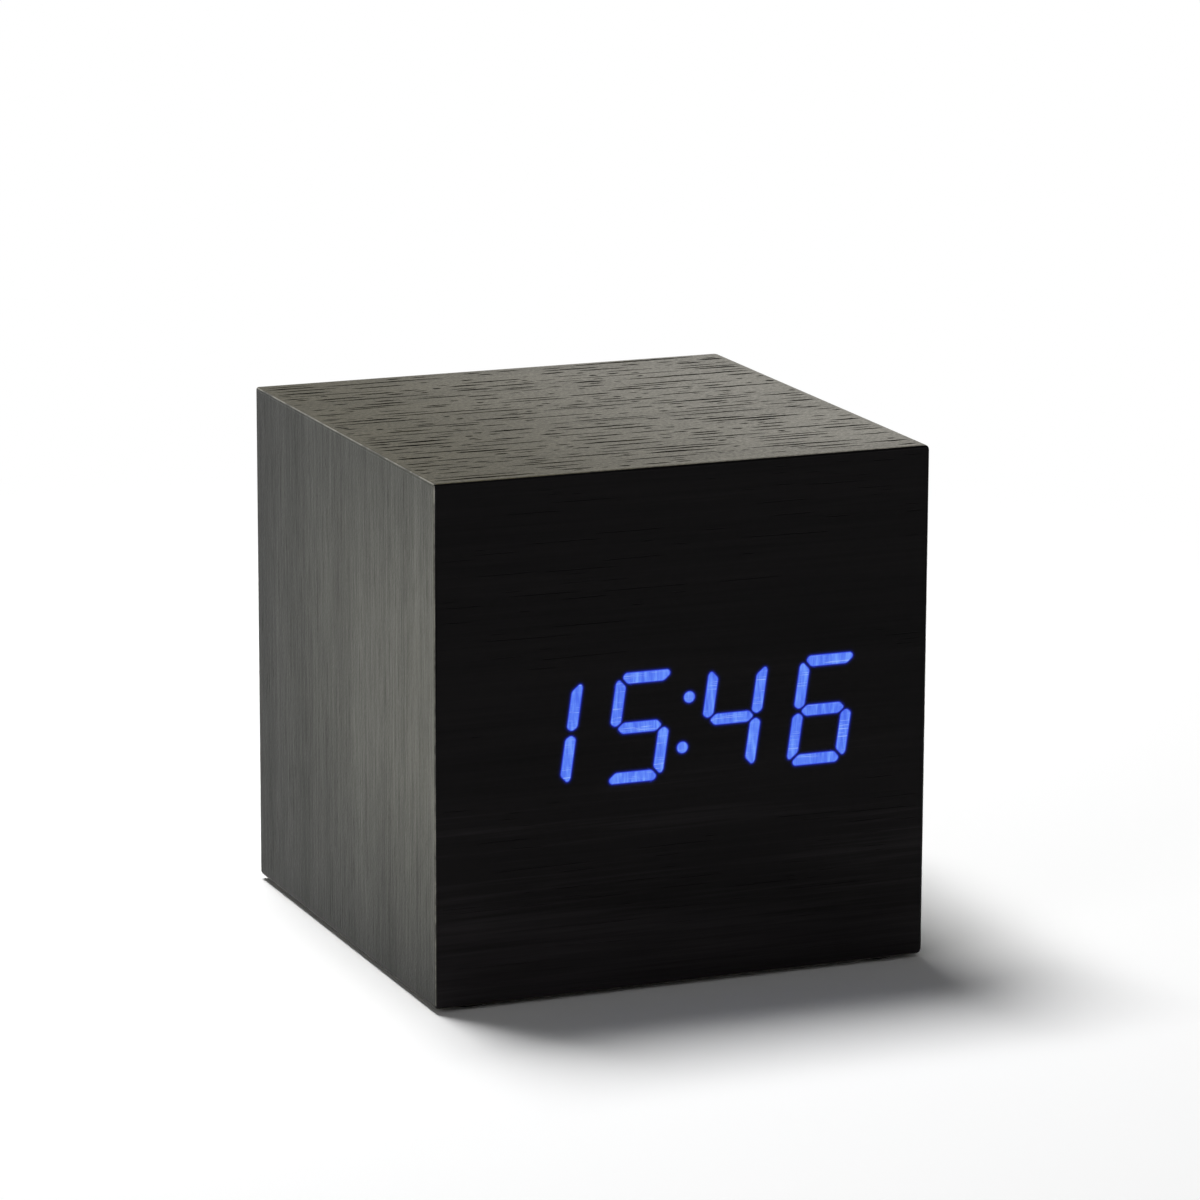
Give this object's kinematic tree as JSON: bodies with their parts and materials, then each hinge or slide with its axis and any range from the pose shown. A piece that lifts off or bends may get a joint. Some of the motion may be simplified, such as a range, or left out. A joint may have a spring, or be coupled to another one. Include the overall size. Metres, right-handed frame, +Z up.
{
  "type": "cube alarm clock",
  "caption": "Wooden cube alarm clock whose lit digits shine through the front veneer, with rear buttons, power socket and a battery door underneath.",
  "frame": {"origin": "on the surface that the clock stands on, under the middle of the cube", "axes": "+Z up, the lit front faces -Y, +X is right as seen from the front"},
  "size_m": [0.068, 0.068, 0.0686],
  "materials": {
    "fibreboard": "raw medium-density fibreboard",
    "case_veneer": "dark stained open-pored veneer, satin",
    "front_veneer": "near-black veneer thin enough to let light through, satin",
    "foot_foam": "matt foam rubber pad",
    "lit_segment": "blue light through the veneer",
    "white_plastic": "white moulded plastic",
    "black_plastic": "black moulded ABS, fine spark-eroded texture",
    "circuit_laminate": "green solder-masked glass laminate",
    "chip_resin": "moulded epoxy resin",
    "steel": "zinc-plated steel",
    "nickel_plate": "nickel-plated sheet",
    "cell_wrap": "printed foil sleeve without print",
    "red_insulation": "red wire insulation",
    "black_insulation": "black wire insulation",
    "grey_insulation": "grey ribbon cable"
  },
  "bodies": {
    "case": {"top_board": "fibreboard", "bottom_board": "fibreboard", "left_board": "fibreboard", "right_board": "fibreboard", "front_board": "fibreboard", "back_board": "fibreboard", "top_veneer": "case_veneer", "bottom_veneer": "case_veneer", "left_veneer": "case_veneer", "right_veneer": "case_veneer", "back_veneer": "case_veneer", "front_veneer": "front_veneer", "foot_front_left": "foot_foam", "foot_front_right": "foot_foam", "foot_back_left": "foot_foam", "foot_back_right": "foot_foam", "hour_tens_light": "lit_segment", "hour_units_light": "lit_segment", "colon_light": "lit_segment", "minute_tens_light": "lit_segment", "minute_units_light": "lit_segment", "display_reflector": "white_plastic", "display_circuit_board": "circuit_laminate", "display_driver": "chip_resin", "display_screw_upper": "steel", "display_screw_lower": "steel", "rear_panel": "black_plastic", "rear_screw_left": "steel", "rear_screw_right": "steel", "set_switch": "chip_resin", "up_switch": "chip_resin", "down_switch": "chip_resin", "main_circuit_board": "circuit_laminate", "microcontroller": "chip_resin", "crystal": "nickel_plate", "backup_cell": "nickel_plate", "backup_cell_clip": "steel", "buzzer": "black_plastic", "microphone": "nickel_plate", "temperature_sensor": "chip_resin", "power_socket": "black_plastic", "battery_case": "black_plastic", "aaa_cell_1": "cell_wrap", "aaa_cell_2": "cell_wrap", "aaa_cell_3": "cell_wrap", "contact_positive": "nickel_plate", "contact_bridge_right": "nickel_plate", "contact_bridge_left": "nickel_plate", "contact_negative": "nickel_plate", "battery_wire_red": "red_insulation", "battery_wire_black": "black_insulation", "ribbon_cable": "grey_insulation"},
    "set_button_cap": {"set_button": "black_plastic", "set_switch_plunger": "white_plastic"},
    "up_button_cap": {"up_button": "black_plastic", "up_switch_plunger": "white_plastic"},
    "down_button_cap": {"down_button": "black_plastic", "down_switch_plunger": "white_plastic"},
    "door": {"battery_door": "black_plastic"}
  },
  "joints": [
    {"name": "set_press", "type": "slide", "parent": "case", "child": "set_button_cap", "axis": [0, -1, 0], "range_m": [0, 0.0003], "stiffness_N_per_m": 6000},
    {"name": "up_press", "type": "slide", "parent": "case", "child": "up_button_cap", "axis": [0, -1, 0], "range_m": [0, 0.0003], "stiffness_N_per_m": 6000},
    {"name": "down_press", "type": "slide", "parent": "case", "child": "down_button_cap", "axis": [0, -1, 0], "range_m": [0, 0.0003], "stiffness_N_per_m": 6000},
    {"name": "battery_door_swing", "type": "hinge", "parent": "case", "child": "door", "pos_m": [-0.0243, 0, 0.0006], "axis": [0, 1, 0], "range_deg": [0, 95]}
  ]
}
